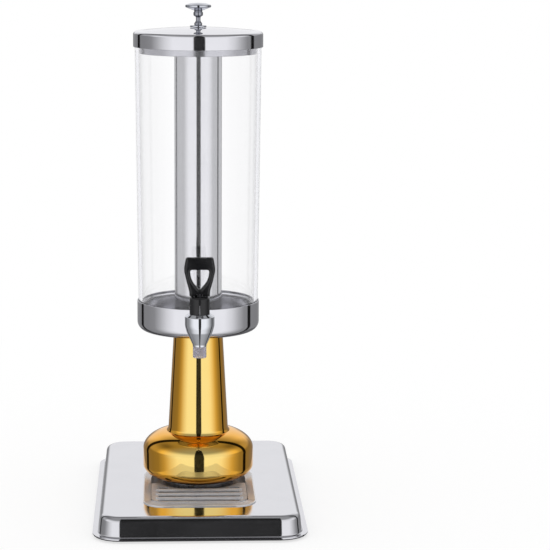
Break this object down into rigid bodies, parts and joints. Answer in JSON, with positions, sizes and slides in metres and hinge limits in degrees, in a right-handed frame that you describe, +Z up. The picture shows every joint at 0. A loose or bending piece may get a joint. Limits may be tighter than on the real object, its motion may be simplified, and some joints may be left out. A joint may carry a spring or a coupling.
{
  "type": "beverage dispenser",
  "caption": "Glass beverage dispenser: straight glass tank with ice tube, lift-off lid and tap, on a gold pedestal over a rectangular stainless base with a drip tray.",
  "frame": {"origin": "on the table under the tower axis, which is the middle of the base", "axes": "+Z up along the tower, +Y away from the tap, +X to the right of someone facing the tap"},
  "size_m": [0.2646, 0.4116, 0.6433],
  "materials": {
    "polished_steel": "mirror-polished stainless steel",
    "brushed_steel": "satin stainless steel",
    "gold_finish": "mirror gold coating on spun steel",
    "chrome_plate": "bright chrome plate",
    "tank_glass": "clear tank wall",
    "clear_plastic": "translucent moulded plastic",
    "black_plastic": "moulded black plastic",
    "black_rubber": "matte rubber",
    "clear_silicone": "translucent silicone",
    "plated_steel": "zinc-plated steel"
  },
  "bodies": {
    "base": {"base_cover": "polished_steel", "base_plate": "plated_steel", "foot_front_left": "black_rubber", "foot_front_right": "black_rubber", "foot_rear_left": "black_rubber", "foot_rear_right": "black_rubber", "base_spacer": "plated_steel", "drip_well": "brushed_steel", "pedestal_boss": "brushed_steel", "pedestal_gasket": "black_rubber", "pedestal_bulb": "gold_finish", "pedestal_column": "gold_finish", "pedestal_top_plate": "plated_steel", "tie_rod": "plated_steel", "tie_rod_weld_nut": "plated_steel", "tie_rod_jam_nut": "plated_steel", "bowl_lower_gasket": "black_rubber", "tank_bowl": "polished_steel", "bowl_upper_gasket": "clear_silicone", "bowl_seat_ring": "brushed_steel", "tank_gasket": "clear_silicone", "tank_cylinder": "tank_glass", "ice_tube_foot": "brushed_steel", "ice_tube": "polished_steel", "tap_body": "chrome_plate", "tap_nozzle": "clear_plastic", "tap_bonnet": "black_plastic", "tap_spring": "plated_steel", "tap_shank": "plated_steel", "tap_outer_washer": "black_rubber", "tap_inner_washer": "clear_silicone", "tap_lock_nut": "plated_steel"},
    "lid": {"lid_cover": "polished_steel", "lid_collar": "polished_steel", "lid_seal": "clear_silicone", "lid_knob": "chrome_plate", "lid_knob_screw": "plated_steel"},
    "stem": {"tap_stem": "plated_steel", "tap_seat_cup": "black_rubber"},
    "handle": {"tap_handle": "black_plastic", "tap_handle_pin": "plated_steel"},
    "tray": {"drip_tray": "brushed_steel"},
    "grid": {"drip_grid": "brushed_steel"}
  },
  "joints": [
    {"name": "lid_lift", "type": "slide", "parent": "base", "child": "lid", "axis": [0, 0, 1], "range_m": [0, 0.06]},
    {"name": "tap_stem_lift", "type": "slide", "parent": "base", "child": "stem", "axis": [0, 0, 1], "range_m": [0, 0.004], "deforming": ["tap_spring"]},
    {"name": "tap_handle_tilt", "type": "hinge", "parent": "stem", "child": "handle", "pos_m": [0, -0.116, 0.2916], "axis": [1, 0, 0], "range_deg": [0, 45], "stiffness_Nm_per_rad": 0.25, "springref_deg": -17.19},
    {"name": "drip_tray_slide", "type": "slide", "parent": "base", "child": "tray", "axis": [0, -0.9135, 0.4067], "range_m": [0, 0.06]},
    {"name": "drip_grid_slide", "type": "slide", "parent": "tray", "child": "grid", "axis": [0, -0.9135, 0.4067], "range_m": [0, 0.04]}
  ],
  "couplings": [
    {"joint": "tap_stem_lift", "follows": "tap_handle_tilt", "m_per_rad": 0.005}
  ]
}
